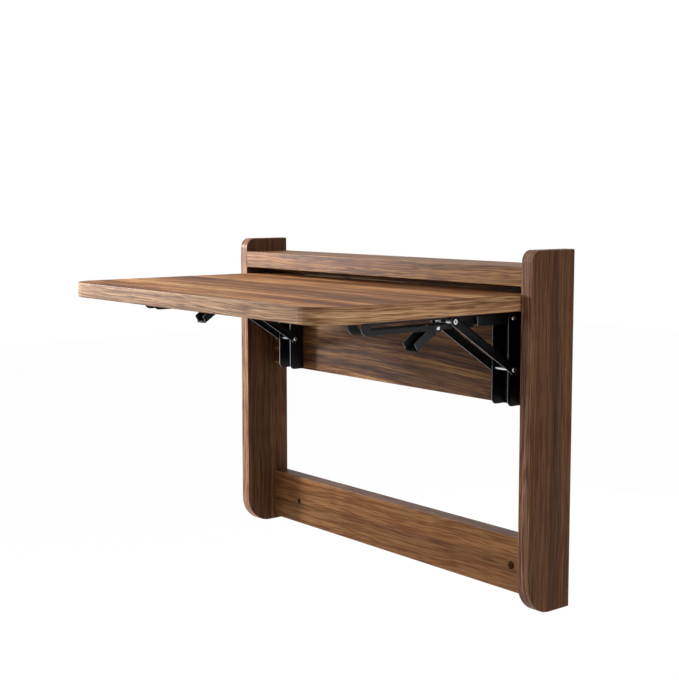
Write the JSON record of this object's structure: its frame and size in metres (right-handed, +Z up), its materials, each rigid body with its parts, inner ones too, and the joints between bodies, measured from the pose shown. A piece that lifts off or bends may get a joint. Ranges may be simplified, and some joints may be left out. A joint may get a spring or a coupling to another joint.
{
  "type": "fold-down wall table",
  "caption": "Wall-hung wooden frame with a tabletop that folds flat into it on two braced steel brackets with release levers.",
  "frame": {"origin": "on the wall plane, midway between the two upper wall screw holes", "axes": "+X along the wall to the right as seen from the room, +Y into the wall, +Z up"},
  "size_m": [0.635, 0.4, 0.47],
  "materials": {
    "walnut_frame": "satin walnut veneer",
    "walnut_tabletop": "satin walnut veneer, striped",
    "beech_dowel": "bare fluted beech",
    "zinc_fixing": "zinc plated",
    "black_steel": "satin black powder coat",
    "bright_steel": "bright zinc plated",
    "black_screw": "black zinc plated",
    "spring_steel": "drawn spring wire"
  },
  "bodies": {
    "root": {"left_upright": "walnut_frame", "right_upright": "walnut_frame", "top_rail": "walnut_frame", "back_panel": "walnut_frame", "bottom_rail": "walnut_frame", "frame_dowels": "beech_dowel", "cam_bolts": "zinc_fixing", "cam_discs": "zinc_fixing", "left_wall_plate": "black_steel", "left_arm_pivot_rivet": "bright_steel", "left_brace_pivot_rivet": "bright_steel", "left_plate_screws": "black_screw", "right_wall_plate": "black_steel", "right_arm_pivot_rivet": "bright_steel", "right_brace_pivot_rivet": "bright_steel", "right_plate_screws": "black_screw"},
    "table": {"tabletop": "walnut_tabletop", "left_support_arm": "black_steel", "left_arm_screws": "black_screw", "left_lever_rivet": "bright_steel", "right_support_arm": "black_steel", "right_arm_screws": "black_screw", "right_lever_rivet": "bright_steel"},
    "left_brace": {"left_brace_inner_bar": "black_steel", "left_brace_outer_bar": "black_steel", "left_brace_studs": "bright_steel"},
    "left_pin": {"left_slide_pin": "bright_steel"},
    "left_lever": {"left_release_lever": "black_steel", "left_lever_spring": "spring_steel"},
    "right_brace": {"right_brace_inner_bar": "black_steel", "right_brace_outer_bar": "black_steel", "right_brace_studs": "bright_steel"},
    "right_pin": {"right_slide_pin": "bright_steel"},
    "right_lever": {"right_release_lever": "black_steel", "right_lever_spring": "spring_steel"}
  },
  "joints": [
    {"name": "table_fold", "type": "hinge", "parent": "root", "child": "table", "pos_m": [0, -0.042, -0.024], "axis": [1, 0, 0], "range_deg": [0, 90]},
    {"name": "left_brace_swing", "type": "hinge", "parent": "root", "child": "left_brace", "pos_m": [-0.237, -0.044, -0.092], "axis": [1, 0, 0], "range_deg": [0, 123]},
    {"name": "left_pin_slide", "type": "slide", "parent": "table", "child": "left_pin", "axis": [0, -1, 0], "range_m": [0, 0.0869]},
    {"name": "left_lever_pull", "type": "hinge", "parent": "table", "child": "left_lever", "pos_m": [-0.237, -0.176, -0.029], "axis": [-1, 0, 0], "range_deg": [0, 20], "stiffness_Nm_per_rad": 0.3, "springref_deg": -17.19},
    {"name": "right_brace_swing", "type": "hinge", "parent": "root", "child": "right_brace", "pos_m": [0.237, -0.044, -0.092], "axis": [1, 0, 0], "range_deg": [0, 123]},
    {"name": "right_pin_slide", "type": "slide", "parent": "table", "child": "right_pin", "axis": [0, -1, 0], "range_m": [0, 0.0869]},
    {"name": "right_lever_pull", "type": "hinge", "parent": "table", "child": "right_lever", "pos_m": [0.237, -0.176, -0.029], "axis": [-1, 0, 0], "range_deg": [0, 20], "stiffness_Nm_per_rad": 0.3, "springref_deg": -17.19}
  ],
  "couplings": [
    {"joint": "left_brace_swing", "follows": "table_fold", "ratio": 1.3661},
    {"joint": "left_pin_slide", "follows": "table_fold", "m_per_rad": 0.055196},
    {"joint": "right_brace_swing", "follows": "table_fold", "ratio": 1.3661},
    {"joint": "right_pin_slide", "follows": "table_fold", "m_per_rad": 0.055196}
  ]
}
